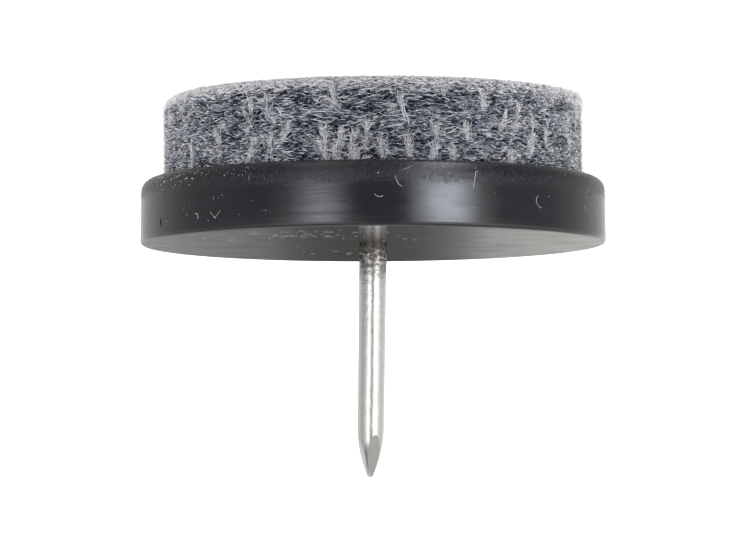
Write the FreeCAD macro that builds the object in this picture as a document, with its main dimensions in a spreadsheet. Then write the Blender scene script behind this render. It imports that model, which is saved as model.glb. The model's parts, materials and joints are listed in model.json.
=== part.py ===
import FreeCAD, Part
import math
import os

import Sketcher

# Nail-on furniture glide: a felt disc seated in a moulded cup that carries a nail moulded into its floor.
# Millimetres, +Z up, as it sits under a chair leg: felt sole on z = 0, nail pointing up into the leg.

# Driving dimensions: name, value, what it measures
SIZES = (
    ("base_diameter", 28.0, "cup across its leg face"),
    ("base_height", 3.9, "cup from rim to leg face"),
    ("rim_wall", 1.35, "cup's wall round the felt, measured in from the leg face's edge"),
    ("draft_angle", 0.75, "degrees that the cup's outer wall leans in towards the rim"),
    ("shoulder_radius", 0.75, "round on the rim's outer edge"),
    ("lip_chamfer", 0.15, "lead-in on the rim's inner edge"),
    ("leg_edge_radius", 0.2, "round on the leg face's edge"),
    ("recess_depth", 2.0, "rim to the floor that the felt sits on"),
    ("felt_clearance", 0.05, "gap round the felt in its recess"),
    ("felt_standout", 5.0, "felt sole to rim"),
    ("sole_edge_radius", 0.6, "round on the felt's sole edge"),
    ("nail_diameter", 1.6, "nail shank"),
    ("nail_reach", 14.0, "leg face to nail tip"),
    ("head_diameter", 4.5, "nail head, flush with the recess floor"),
    ("head_rim", 0.6, "straight edge of the nail head; from there it cones in to the shank at the leg face"),
    ("point_length", 3.0, "tapered end of the nail"),
    ("tip_radius", 0.2, "blunt end of the point"),
    ("flat_count", 4, "flats pinched on the point"),
    ("flat_length", 2.4, "height of each flat below the tip"),
    ("tip_width", 0.28, "across two opposite flats at the tip"),
    ("flats_angle", -21.6, "degrees that the flats are turned about the nail"),
)

# Levels up the glide and radii, worked out from the driving dimensions
RIM_Z = "Sizes.felt_standout"
FLOOR_Z = "(Sizes.felt_standout + Sizes.recess_depth)"
LEG_Z = "(Sizes.felt_standout + Sizes.base_height)"
TIP_Z = f"({LEG_Z} + Sizes.nail_reach)"
HEAD_EDGE_Z = f"({FLOOR_Z} + Sizes.head_rim)"
POINT_Z = f"({TIP_Z} - Sizes.point_length)"
FLAT_Z = f"({TIP_Z} - Sizes.flat_length)"
BASE_R = "(Sizes.base_diameter / 2)"
RIM_R = f"({BASE_R} - Sizes.base_height * tan(Sizes.draft_angle * 1deg))"
RECESS_R = f"({BASE_R} - Sizes.rim_wall)"
FELT_R = f"({RECESS_R} - Sizes.felt_clearance)"
HEAD_R = "(Sizes.head_diameter / 2)"
NAIL_R = "(Sizes.nail_diameter / 2)"
AXIS = "0"

# How near an edge has to be to the radius and height it is looked for at
EDGE_TOLERANCE = 1e-4

# The property that sizes each kind of edge dressing
DRESSING_SIZE = {"Fillet": "Radius", "Chamfer": "Size"}

# Point numbers that sketch constraints use, and the sketch's own origin and vertical axis
START, END, CENTRE = 1, 2, 3
ORIGIN, VERTICAL = -1, -2

doc = FreeCAD.newDocument("NailOnGlide")


def fill_sheet():
    """The spreadsheet of driving dimensions, one row each, with the value's cell named."""
    sheet = doc.addObject("Spreadsheet::Sheet", "Sizes")
    for row, (alias, value, meaning) in enumerate(SIZES, start=1):
        sheet.set(f"A{row}", alias)
        sheet.set(f"B{row}", str(value))
        sheet.set(f"C{row}", meaning)
        sheet.setAlias(f"B{row}", alias)
    doc.recompute()
    return sheet


sizes = fill_sheet()


def now(expression):
    """An expression's present value in millimetres."""
    return float(sizes.evalExpression(expression))


def new_body(name):
    body = doc.addObject("PartDesign::Body", name)
    body.Label = name
    return body


def origin_feature(body, role):
    return next(f for f in body.Origin.OriginFeatures if f.Role == role)


def new_sketch(body, name, plane):
    sketch = body.newObject("Sketcher::SketchObject", name)
    sketch.AttachmentSupport = [(origin_feature(body, plane), "")]
    sketch.MapMode = "FlatFace"
    return sketch


def bind(sketch, kind, geometry, point, expression):
    """Holds one point of the sketch at an expression's distance from the sketch's origin."""
    index = sketch.addConstraint(
        Sketcher.Constraint(kind, ORIGIN, START, geometry, point, now(expression))
    )
    sketch.setExpression(f"Constraints[{index}]", expression)


def pin_corner(sketch, geometry, point, radius, height):
    """Holds a corner at its radius from the axis and its height."""
    if radius == AXIS:
        sketch.addConstraint(Sketcher.Constraint("PointOnObject", geometry, point, VERTICAL))
    else:
        bind(sketch, "DistanceX", geometry, point, radius)
    bind(sketch, "DistanceY", geometry, point, height)


def corner_vector(corner):
    radius, height = corner
    return FreeCAD.Vector(now(radius), now(height), 0)


def draw_side(sketch, start, end):
    """A straight side from one corner to the next; its start is held in place."""
    side = sketch.addGeometry(Part.LineSegment(corner_vector(start), corner_vector(end)))
    pin_corner(sketch, side, START, *start)
    return side


def draw_section(body, name, corners):
    """A closed half-section of straight sides, drawn as (radius, height) beside the Z axis."""
    sketch = new_sketch(body, name, "XZ_Plane")
    following = corners[1:] + corners[:1]
    sides = [draw_side(sketch, a, b) for a, b in zip(corners, following)]
    for side, after in zip(sides, sides[1:] + sides[:1]):
        sketch.addConstraint(Sketcher.Constraint("Coincident", side, END, after, START))
    return sketch


def revolve(body, name, sketch):
    """The section turned a full circle about the Z axis."""
    turned = body.newObject("PartDesign::Revolution", name)
    turned.Profile = sketch
    turned.ReferenceAxis = (origin_feature(body, "Z_Axis"), [""])
    turned.Angle = 360
    doc.recompute()
    return turned


def dress_edge(body, kind, name, base, radius, height, dressing):
    """A fillet or chamfer on the circular edge of the base feature at one radius and height."""
    at_radius, at_height = now(radius), now(height)
    edges = [
        f"Edge{number}"
        for number, edge in enumerate(base.Shape.Edges, start=1)
        if isinstance(edge.Curve, Part.Circle)
        and abs(edge.Curve.Radius - at_radius) < EDGE_TOLERANCE
        and abs(edge.Curve.Center.z - at_height) < EDGE_TOLERANCE
    ]
    if not edges:
        raise RuntimeError(f"{name}: no edge at radius {at_radius:g} and height {at_height:g}")
    dressed = body.newObject(f"PartDesign::{kind}", name)
    dressed.Base = (base, edges)
    dressed.setExpression(DRESSING_SIZE[kind], dressing)
    doc.recompute()
    return dressed


def felt_pad():
    """Needled felt disc, from the floor of the cup's recess down to the sole."""
    body = new_body("felt_pad")
    sketch = new_sketch(body, "FeltOutline", "XY_Plane")
    centre = FreeCAD.Vector(0, 0, 0)
    normal = FreeCAD.Vector(0, 0, 1)
    disc = sketch.addGeometry(Part.Circle(centre, normal, now(FELT_R)))
    sketch.addConstraint(Sketcher.Constraint("Coincident", disc, CENTRE, ORIGIN, START))
    edge = sketch.addConstraint(Sketcher.Constraint("Radius", disc, now(FELT_R)))
    sketch.setExpression(f"Constraints[{edge}]", FELT_R)
    pad = body.newObject("PartDesign::Pad", "FeltThickness")
    pad.Profile = sketch
    pad.setExpression("Length", FLOOR_Z)
    doc.recompute()
    dress_edge(body, "Fillet", "SoleEdge", pad, FELT_R, AXIS, "Sizes.sole_edge_radius")
    return body


def base_cup():
    """Moulded cup: drafted wall, recess for the felt, floor closed round the nail's coned head."""
    body = new_body("base_cup")
    section = draw_section(
        body,
        "CupSection",
        [
            (NAIL_R, LEG_Z),
            (HEAD_R, HEAD_EDGE_Z),
            (HEAD_R, FLOOR_Z),
            (RECESS_R, FLOOR_Z),
            (RECESS_R, RIM_Z),
            (RIM_R, RIM_Z),
            (BASE_R, LEG_Z),
        ],
    )
    cup = revolve(body, "CupTurned", section)
    shoulder = dress_edge(body, "Fillet", "Shoulder", cup, RIM_R, RIM_Z, "Sizes.shoulder_radius")
    lip = dress_edge(body, "Chamfer", "Lip", shoulder, RECESS_R, RIM_Z, "Sizes.lip_chamfer")
    dress_edge(body, "Fillet", "LegEdge", lip, BASE_R, LEG_Z, "Sizes.leg_edge_radius")
    return body


def draw_nail(body):
    """Half-section of the nail: coned head, shank from the leg face, curved taper and blunt tip."""
    corners = [
        (AXIS, FLOOR_Z),
        (HEAD_R, FLOOR_Z),
        (HEAD_R, HEAD_EDGE_Z),
        (NAIL_R, LEG_Z),
        (NAIL_R, POINT_Z),
    ]
    sketch = new_sketch(body, "NailSection", "XZ_Plane")
    sides = [draw_side(sketch, a, b) for a, b in zip(corners, corners[1:])]
    for side, after in zip(sides, sides[1:]):
        sketch.addConstraint(Sketcher.Constraint("Coincident", side, END, after, START))
    shank = sides[-1]

    # The taper is an arc that leaves the shank smoothly and runs into the round of the tip
    nail_r, tip_r = now(NAIL_R), now("Sizes.tip_radius")
    rise = now("Sizes.point_length") - tip_r
    taper_r = (rise**2 + nail_r**2 - tip_r**2) / (2 * (nail_r - tip_r))
    turn = math.atan2(rise, taper_r - nail_r)
    normal = FreeCAD.Vector(0, 0, 1)
    taper_centre = FreeCAD.Vector(nail_r - taper_r, now(POINT_Z), 0)
    tip_centre = FreeCAD.Vector(0, now(TIP_Z) - tip_r, 0)
    taper_circle = Part.Circle(taper_centre, normal, taper_r)
    tip_circle = Part.Circle(tip_centre, normal, tip_r)
    taper = sketch.addGeometry(Part.ArcOfCircle(taper_circle, 0, turn))
    tip = sketch.addGeometry(Part.ArcOfCircle(tip_circle, turn, math.pi / 2))
    top = FreeCAD.Vector(0, now(TIP_Z), 0)
    spine = sketch.addGeometry(Part.LineSegment(top, corner_vector(corners[0])))

    bind(sketch, "DistanceY", shank, END, POINT_Z)
    sketch.addConstraint(Sketcher.Constraint("Tangent", shank, END, taper, START))
    sketch.addConstraint(Sketcher.Constraint("Tangent", taper, END, tip, START))
    sketch.addConstraint(Sketcher.Constraint("PointOnObject", tip, CENTRE, VERTICAL))
    sketch.addConstraint(Sketcher.Constraint("Coincident", tip, END, spine, START))
    sketch.addConstraint(Sketcher.Constraint("Coincident", spine, END, sides[0], START))
    pin_corner(sketch, spine, START, AXIS, TIP_Z)
    blunt = sketch.addConstraint(Sketcher.Constraint("Radius", tip, tip_r))
    sketch.setExpression(f"Constraints[{blunt}]", "Sizes.tip_radius")
    return sketch


def nail():
    """Wire nail with its head in the cup's floor and a diamond point of pinched flats."""
    body = new_body("nail")
    turned = revolve(body, "NailTurned", draw_nail(body))

    # What one flat takes away: everything outside a slope from the tip down to the shank
    wedge = draw_section(
        body,
        "FlatSection",
        [
            ("(Sizes.tip_width / 2)", TIP_Z),
            (NAIL_R, FLAT_Z),
            ("Sizes.nail_diameter", FLAT_Z),
            ("Sizes.nail_diameter", TIP_Z),
        ],
    )
    flat = body.newObject("PartDesign::Pocket", "Flat")
    flat.Profile = wedge
    flat.SideType = "Symmetric"
    flat.setExpression("Length", "2 * Sizes.nail_diameter")
    doc.recompute()
    flats = body.newObject("PartDesign::PolarPattern", "Flats")
    flats.Originals = [flat]
    flats.Axis = (origin_feature(body, "Z_Axis"), [""])
    flats.Angle = 360
    flats.setExpression("Occurrences", "Sizes.flat_count")
    body.Tip = flats
    body.Placement = FreeCAD.Placement(
        FreeCAD.Vector(0, 0, 0), FreeCAD.Rotation(FreeCAD.Vector(0, 0, 1), now("Sizes.flats_angle"))
    )
    doc.recompute()
    if not flats.Shape.Volume < flat.Shape.Volume < turned.Shape.Volume:
        raise RuntimeError("nail: a flat took nothing off the point")
    return body


def check(bodies):
    """Stops before anything is written if a feature failed or a piece isn't one sound solid."""
    failed = [o.Name for o in doc.Objects if "Invalid" in o.State or "Error" in o.State]
    if failed:
        raise RuntimeError(f"features that failed: {failed}")
    for body in bodies:
        shape = body.Shape
        if shape.isNull() or not shape.isValid() or len(shape.Solids) != 1:
            raise RuntimeError(f"{body.Label} is not one valid solid")


bodies = [felt_pad(), base_cup(), nail()]
doc.recompute()
check(bodies)
os.makedirs("parts", exist_ok=True)
for body in bodies:
    body.Shape.exportStep(f"parts/{body.Label}.step")
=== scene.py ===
import json
import math
import random

import bpy
import numpy as np
from mathutils import Matrix, Vector, noise


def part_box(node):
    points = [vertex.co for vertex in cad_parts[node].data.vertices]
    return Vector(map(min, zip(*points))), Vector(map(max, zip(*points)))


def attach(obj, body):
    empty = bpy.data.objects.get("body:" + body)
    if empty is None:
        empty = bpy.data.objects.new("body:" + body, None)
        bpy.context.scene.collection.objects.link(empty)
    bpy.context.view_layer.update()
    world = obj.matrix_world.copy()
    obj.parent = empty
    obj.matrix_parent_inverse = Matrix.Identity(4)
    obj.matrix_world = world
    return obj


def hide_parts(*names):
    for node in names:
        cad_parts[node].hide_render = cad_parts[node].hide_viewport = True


bl_info = {
    "name": "Nail-on Furniture Glide",
    "version": (1, 0, 0),
    "blender": (4, 5, 0),
    "location": "View3D > Sidebar > Glide",
    "description": "Dresses a felt furniture glide: fibre web, glossy cup, wire nail and the lint on it",
    "category": "Add Mesh",
}

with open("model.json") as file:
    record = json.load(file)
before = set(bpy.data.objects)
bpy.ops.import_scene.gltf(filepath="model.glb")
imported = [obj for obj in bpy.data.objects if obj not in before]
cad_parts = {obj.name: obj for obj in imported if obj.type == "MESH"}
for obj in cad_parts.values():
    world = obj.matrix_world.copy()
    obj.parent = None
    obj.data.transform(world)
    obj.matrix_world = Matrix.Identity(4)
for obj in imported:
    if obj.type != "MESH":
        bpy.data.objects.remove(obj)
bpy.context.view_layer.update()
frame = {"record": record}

MM = 0.001

# Places and sizes that the solids give, in metres
_, FELT_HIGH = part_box("felt_pad")
CUP_LOW, CUP_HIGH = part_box("base_cup")
_, NAIL_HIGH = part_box("nail")
SHANK = next(m for m in frame["record"]["mounts"] if m["name"] == "nail_shank")


def mm(*sizes):
    """Sizes in millimetres as metres."""
    return tuple(size * MM for size in sizes)


def length(name, description, default):
    """A size that a user can change, in metres."""
    return bpy.props.FloatProperty(
        name=name, description=description, default=default, unit="LENGTH", precision=5
    )


def colour(name, description, default):
    """A colour that a user can change."""
    return bpy.props.FloatVectorProperty(
        name=name, description=description, default=default, subtype="COLOR", size=3, min=0, max=1
    )


def angle(name, description, degrees):
    """An angle that a user can change."""
    return bpy.props.FloatProperty(
        name=name, description=description, default=math.radians(degrees), subtype="ANGLE"
    )


class GlideSizes(bpy.types.PropertyGroup):
    """Sizes of the felt, the cup and the nail."""

    felt_radius: length("Felt radius", "Outside of the fibre web", FELT_HIGH.x)
    felt_top: length("Felt top", "Height of the recess floor that the felt sits on", FELT_HIGH.z)
    web_depth: length("Web depth", "How far the open web of fibres reaches in", 0.28 * MM)
    sole_edge: length("Sole edge", "Round on the felt's sole edge", 0.62 * MM)
    sole_edge_worn: length("Worn sole edge", "How much rounder one side of the sole edge is", 0.38 * MM)
    cup_radius: length("Cup radius", "Leg face to its edge", CUP_HIGH.x)
    rim_height: length("Rim height", "Height of the cup's rim", CUP_LOW.z)
    leg_height: length("Leg face height", "Height of the leg face", CUP_HIGH.z)
    recess_radius: length("Recess radius", "Inside of the cup's wall", FELT_HIGH.x + 0.05 * MM)
    draft: angle("Draft", "Lean of the cup's wall", 0.75)
    shoulder: length("Shoulder", "Round on the rim's outer edge", 0.75 * MM)
    lip: length("Lip", "Round on the rim's inner edge", 0.15 * MM)
    leg_edge: length("Leg edge", "Round on the leg face's edge", 0.2 * MM)
    nail_radius: length("Nail radius", "Shank of the nail", SHANK["dims"]["r_mm"] * MM)
    tip_height: length("Tip height", "Height of the nail's tip", NAIL_HIGH.z)
    head_radius: length("Head radius", "Nail head in the cup's floor", NAIL_HIGH.x)
    head_rim: length("Head rim", "Straight edge of the nail head", 0.6 * MM)
    point_length: length("Point length", "Tapered end of the nail", 3.0 * MM)
    tip_radius: length("Tip radius", "Blunt end of the point", 0.2 * MM)
    flat_length: length("Flat length", "Height of each flat on the point", 2.4 * MM)
    tip_width: length("Tip width", "Across two opposite flats at the tip", 0.28 * MM)
    flats_turn: angle("Flats turn", "Turn of the flats about the nail", -21.6)
    nail_lean: angle("Nail lean", "How far the nail was driven askew", 0.95)


class GlideColours(bpy.types.PropertyGroup):
    """Colours of the felt's fibres, the cup and the nail."""

    core: colour("Felt core", "Shade deep in the felt", (0.010, 0.013, 0.027))
    white_fibre: colour("White fibre", "Lightest fibres", (0.78, 0.79, 0.825))
    grey_fibre: colour("Grey fibre", "Blue-grey fibres", (0.25, 0.275, 0.365))
    navy_fibre: colour("Navy fibre", "Darkest fibres", (0.013, 0.018, 0.043))
    # Painted light: the pale fibres are set lighter than the white ones, partly rubbed pale and partly a
    # stand-in for the light on the sole edge
    pale_fibre: colour("Pale fibre", "Rubbed fibres of the sole edge", (0.91, 0.91, 0.92))
    plastic: colour("Plastic", "Moulded cup", (0.0092, 0.0100, 0.0128))
    scuffed: colour("Scuffed plastic", "Rubbed shoulder of the cup", (0.0165, 0.0175, 0.021))
    steel: colour("Steel", "Drawn wire", (0.56, 0.55, 0.53))
    grime: colour("Grime", "Dirt at the nail's root", (0.060, 0.051, 0.041))
    lint: colour("Lint", "Dust and stray fibres", (0.62, 0.62, 0.61))
    floor: colour("Floor", "Floor under the glide", (0.92, 0.92, 0.92))


# Meshing

FELT_STEPS = 300
CUP_STEPS = 300
NAIL_STEPS = 96
MERGE_DISTANCE = 0.0001 * MM


def deselect():
    """Leaves edit mode and selects nothing."""
    if bpy.context.mode != "OBJECT":
        bpy.ops.object.mode_set(mode="OBJECT")
    bpy.ops.object.select_all(action="DESELECT")


def edit_all():
    """Enters edit mode with everything selected."""
    bpy.ops.object.mode_set(mode="EDIT")
    bpy.ops.mesh.select_all(action="SELECT")


def close_up():
    """Merges doubled corners and points all faces outwards."""
    edit_all()
    bpy.ops.mesh.remove_doubles(threshold=MERGE_DISTANCE)
    bpy.ops.mesh.normals_make_consistent(inside=False)
    bpy.ops.object.mode_set(mode="OBJECT")


def lathe(name, profile, steps):
    """Extrudes one corner along a profile of (radius, height) points, and spins it about Z."""
    deselect()
    bpy.ops.mesh.primitive_plane_add(size=MM)
    piece = bpy.context.object
    piece.name = piece.data.name = name
    edit_all()
    bpy.ops.mesh.merge(type="CENTER")
    bpy.ops.transform.translate(value=(profile[0][0], 0, profile[0][1]))
    for (r0, z0), (r1, z1) in zip(profile, profile[1:]):
        bpy.ops.mesh.extrude_vertices_move(TRANSFORM_OT_translate={"value": (r1 - r0, 0, z1 - z0)})
    bpy.ops.mesh.select_all(action="SELECT")
    bpy.ops.mesh.spin(steps=steps, angle=math.tau, center=(0, 0, 0), axis=(0, 0, 1))
    close_up()
    return piece


def arc(centre, radius, start, end, steps):
    """Points of an arc in a (radius, height) profile, angles in degrees from outwards to upwards."""
    turns = [math.radians(start + (end - start) * i / steps) for i in range(steps + 1)]
    return [(centre[0] + radius * math.cos(t), centre[1] + radius * math.sin(t)) for t in turns]


def run(start, end, spacing):
    """Evenly spaced points of a straight stretch of a profile, without its first."""
    steps = max(1, round(math.dist(start, end) / spacing))
    return [tuple(a + (b - a) * i / steps for a, b in zip(start, end)) for i in range(1, steps + 1)]


def smooth(piece, degrees=35):
    """Shades the piece smooth, but keeps edges sharper than the angle."""
    deselect()
    piece.select_set(True)
    bpy.context.view_layer.objects.active = piece
    bpy.ops.object.shade_smooth_by_angle(angle=math.radians(degrees))


def dress(piece, material, replaces=None):
    """Gives a finished piece its material, and ties it to the frame."""
    piece.data.materials.clear()
    piece.data.materials.append(material)
    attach(piece, "root")
    if replaces:
        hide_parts(replaces)


def move_corners(piece, shift):
    """Moves each corner of a mesh by what shift says of its place."""
    for vertex in piece.data.vertices:
        vertex.co += shift(vertex.co)
    piece.data.update()


def bearing_of(co):
    """Angle about the nail from the camera's side, growing towards the picture's right, in radians."""
    return math.atan2(-co.x, -co.y)


def outward(bearing):
    """Level direction away from the nail at a bearing in radians."""
    return Vector((-math.sin(bearing), -math.cos(bearing), 0))


# Shader nodes


def node(tree, kind, inputs=None, **settings):
    """One shader node; each input is a value or another node's output."""
    made = tree.nodes.new(kind)
    for name, value in settings.items():
        setattr(made, name, value)
    for name, value in (inputs or {}).items():
        if isinstance(value, bpy.types.NodeSocket):
            tree.links.new(value, made.inputs[name])
        else:
            made.inputs[name].default_value = value
    return made


def new_material(name):
    """An empty material with its surface shader: (material, tree, shader)."""
    material = bpy.data.materials.new(name)
    material.use_nodes = True
    tree = material.node_tree
    tree.nodes.clear()
    shader = tree.nodes.new("ShaderNodeBsdfPrincipled")
    output = tree.nodes.new("ShaderNodeOutputMaterial")
    tree.links.new(shader.outputs[0], output.inputs["Surface"])
    return material, tree, shader


def maths(tree, operation, a, b=0.0):
    return node(tree, "ShaderNodeMath", {0: a, 1: b}, operation=operation).outputs[0]


def times(tree, a, b):
    return maths(tree, "MULTIPLY", a, b)


def plus(tree, a, b):
    return maths(tree, "ADD", a, b)


def between(tree, value, low, high, to_low=0.0, to_high=1.0):
    """A value's place between two levels, eased at both ends."""
    return node(
        tree,
        "ShaderNodeMapRange",
        {"Value": value, 1: low, 2: high, 3: to_low, 4: to_high},
        interpolation_type="SMOOTHSTEP",
    ).outputs[0]


def mix_colour(tree, factor, a, b):
    return node(tree, "ShaderNodeMix", {0: factor, 6: a, 7: b}, data_type="RGBA").outputs[2]


def mix_value(tree, factor, a, b):
    return node(tree, "ShaderNodeMix", {0: factor, 2: a, 3: b}).outputs[0]


def object_place(tree):
    return node(tree, "ShaderNodeTexCoord").outputs["Object"]


def patches(tree, place, grain, detail=3.0, roughness=0.5, crimp=0.0):
    """Noise whose grain has the given width along X and Y and height along Z, in metres."""
    across, up = grain
    scaled = node(tree, "ShaderNodeMapping", {"Vector": place, "Scale": (1 / across, 1 / across, 1 / up)})
    return node(
        tree,
        "ShaderNodeTexNoise",
        {
            "Vector": scaled.outputs[0],
            "Scale": 1.0,
            "Detail": detail,
            "Roughness": roughness,
            "Distortion": crimp,
        },
    ).outputs[0]


def strands(tree, place, turn, size):
    """Noise drawn out along one level direction, like fibres of the given length and width laid that way."""
    long, wide = size
    turned = node(tree, "ShaderNodeMapping", {"Vector": place, "Rotation": (0, 0, turn)}).outputs[0]
    drawn = node(tree, "ShaderNodeMapping", {"Vector": turned, "Scale": (1 / long, 1 / wide, 1 / wide)})
    return node(
        tree,
        "ShaderNodeTexNoise",
        {"Vector": drawn.outputs[0], "Scale": 1.0, "Detail": 2.0, "Roughness": 0.5, "Distortion": 0.5},
    ).outputs[0]


def bump(tree, height, depth, strength=1.0):
    return node(
        tree, "ShaderNodeBump", {"Height": height, "Distance": depth, "Strength": strength}
    ).outputs[0]


def plug(tree, shader, **inputs):
    """Sets or links the shader's inputs, with _ for a space in their names."""
    for name, value in inputs.items():
        socket = shader.inputs[name.replace("_", " ")]
        if isinstance(value, bpy.types.NodeSocket):
            tree.links.new(value, socket)
        else:
            socket.default_value = value


def rgba(rgb, gain=1.0):
    return (*(c * gain for c in rgb), 1.0)


# Felt

RIM_TUCK = 0.35 * MM
FIBRE_CLEARANCE = 0.02 * MM


class FeltSurface:
    """The felt's outside, by bearing and run down from the rim, round the sole edge and under the sole."""

    def __init__(self, sizes):
        self.radius = sizes.felt_radius
        self.rim = sizes.rim_height
        self.edge = sizes.sole_edge
        self.worn = sizes.sole_edge_worn

    def edge_at(self, bearing):
        """Round of the sole edge, larger on the picture's left."""
        return self.edge - self.worn * math.sin(bearing)

    def point(self, bearing, down, lift):
        """The place at a bearing and run, lifted off the surface."""
        edge = self.edge_at(bearing)
        side = self.rim - edge
        round_run = edge * math.pi / 2
        if down < side:
            turn, radius, height = 0.0, self.radius, self.rim - down
        elif down < side + round_run:
            turn = (down - side) / edge
            radius = self.radius - edge + edge * math.cos(turn)
            height = edge - edge * math.sin(turn)
        else:
            turn = math.pi / 2
            radius = max(0.0, self.radius - edge - (down - side - round_run))
            height = 0.0
        radius += lift * math.cos(turn)
        height -= lift * math.sin(turn)
        return outward(bearing) * radius + Vector((0, 0, max(height, FIBRE_CLEARANCE)))


# Clumps and gaps of the felt, across and along its thickness, and how white its sole edge is rubbed and
# painted lighter, a painted stand-in for the light on it
CLUMP_SIZE = (1.0 * MM, 0.65 * MM)
SOLE_RUB_AND_LIGHT = 1.7


def matting_and_sole_light(felt, bearing, down):
    """How white the felt is at a place: about -1 in a navy gap and 1 in a white clump, and whiter at the
    sole edge, which is rubbed and also painted lighter as painted light.
    """
    across, along = CLUMP_SIZE
    place = outward(bearing) * (felt.radius / across) + Vector((0, 0, down / along))
    # Painted light: the sole edge is lightened here, partly its rubbed wear and partly a stand-in for the
    # light that falls on it
    rubbed = min(1.0, max(0.0, (down - felt.rim + 1.1 * MM) / (0.9 * MM)))
    return 0.8 * noise.fractal(place, 0.9, 2.0, 2) + SOLE_RUB_AND_LIGHT * rubbed * rubbed


def felt_core_material(colours):
    """Matted depth of the felt: level wisps of grey and white over navy gaps."""
    material, tree, shader = new_material("felt core")
    place = object_place(tree)
    wisps = patches(tree, place, (0.45 * MM, 0.10 * MM), 4.0, 0.6, 0.4)
    gaps = patches(tree, place, (0.55 * MM, 0.13 * MM), 4.0, 0.65, 0.5)
    # This attribute holds the matting and the painted light of the sole edge, so the core is lighter there
    # partly by painted light
    clumps_and_sole_light = node(tree, "ShaderNodeAttribute", attribute_name="matting_and_sole_light").outputs["Fac"]
    leaning = plus(tree, gaps, times(tree, clumps_and_sole_light, 0.2))
    matted = mix_colour(
        tree, between(tree, wisps, 0.5, 0.6), rgba(colours.grey_fibre, 0.6), rgba(colours.white_fibre, 0.7)
    )
    shade = mix_colour(tree, between(tree, leaning, 0.47, 0.55), rgba(colours.core), matted)

    # Fibres that lie every way on the sole
    laid = [strands(tree, place, turn, (0.7 * MM, 0.06 * MM)) for turn in (0.3, 1.1, 1.9, 2.7)]
    felted = maths(tree, "MAXIMUM", maths(tree, "MAXIMUM", *laid[:2]), maths(tree, "MAXIMUM", *laid[2:]))
    sole_shade = mix_colour(
        tree, between(tree, felted, 0.56, 0.64), rgba(colours.core, 1.7), rgba(colours.grey_fibre)
    )
    sole_shade = mix_colour(
        tree, between(tree, felted, 0.62, 0.72), sole_shade, rgba(colours.white_fibre, 0.9)
    )
    height = node(tree, "ShaderNodeSeparateXYZ", {0: place}).outputs["Z"]
    sole = between(tree, height, 0.1 * MM, 0.3 * MM, 1.0, 0.0)
    plug(tree, shader, Base_Color=mix_colour(tree, sole, shade, sole_shade))
    plug(tree, shader, Roughness=0.9, Specular_IOR_Level=0.1)
    plug(tree, shader, Normal=bump(tree, mix_value(tree, sole, gaps, felted), 0.08 * MM))
    return material


def fibre_material(name, rgb, spread):
    """Matt fibre whose tone drifts from fibre to fibre."""
    material, tree, shader = new_material(name)
    drift = patches(tree, object_place(tree), (0.25 * MM, 0.08 * MM), 4.0, 0.6)
    tone = mix_colour(tree, between(tree, drift, 0.32, 0.68), rgba(rgb, 1 - spread), rgba(rgb, 1 + spread))
    plug(tree, shader, Base_Color=tone, Roughness=0.65, Specular_IOR_Level=0.25, Sheen_Weight=0.15)
    return material


def wrap_map(piece, height):
    """Unrolls the piece about Z into a map of bearing and height."""
    mesh = piece.data
    corners = np.empty(len(mesh.loops), np.int32)
    mesh.loops.foreach_get("vertex_index", corners)
    places = np.empty(len(mesh.vertices) * 3, np.float32)
    mesh.vertices.foreach_get("co", places)
    x, y, z = places.reshape(-1, 3)[corners].T
    across = np.arctan2(-x, -y) / math.tau + 0.5
    starts = np.empty(len(mesh.polygons), np.int32)
    mesh.polygons.foreach_get("loop_start", starts)
    first = np.repeat(across[starts], np.diff(np.append(starts, len(corners))))
    across -= np.round(across - first)
    layer = mesh.uv_layers.new(name="OFBake")
    layer.uv.foreach_set("vector", np.column_stack([across, z / height]).astype(np.float32).ravel())


def thread_mesh(name, paths, thickness):
    """Threads along the paths, as one mesh of fine three-sided tubes that thin towards both ends."""
    deselect()
    section = bpy.data.curves.new("thread section", "CURVE")
    corner = section.splines.new("POLY")
    corner.points.add(2)
    corner.use_cyclic_u = True
    for point, turn in zip(corner.points, (0, math.tau / 3, 2 * math.tau / 3)):
        point.co = (thickness / 2 * math.cos(turn), thickness / 2 * math.sin(turn), 0, 1)
    section_object = bpy.data.objects.new("thread section", section)
    bpy.context.collection.objects.link(section_object)

    curve = bpy.data.curves.new(name, "CURVE")
    curve.dimensions = "3D"
    curve.bevel_mode = "OBJECT"
    curve.bevel_object = section_object
    curve.use_fill_caps = True
    for path in paths:
        spline = curve.splines.new("POLY")
        spline.points.add(len(path) - 1)
        spline.points.foreach_set("co", [v for point in path for v in (*point, 1.0)])
        last = len(path) - 1
        spline.points.foreach_set("radius", [1 - 0.5 * abs(2 * i / last - 1) ** 3 for i in range(last + 1)])
    piece = bpy.data.objects.new(name, curve)
    bpy.context.collection.objects.link(piece)
    piece.select_set(True)
    bpy.context.view_layer.objects.active = piece
    bpy.ops.object.convert(target="MESH")
    piece = bpy.context.object
    bpy.data.objects.remove(section_object)
    close_up()
    return piece


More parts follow.
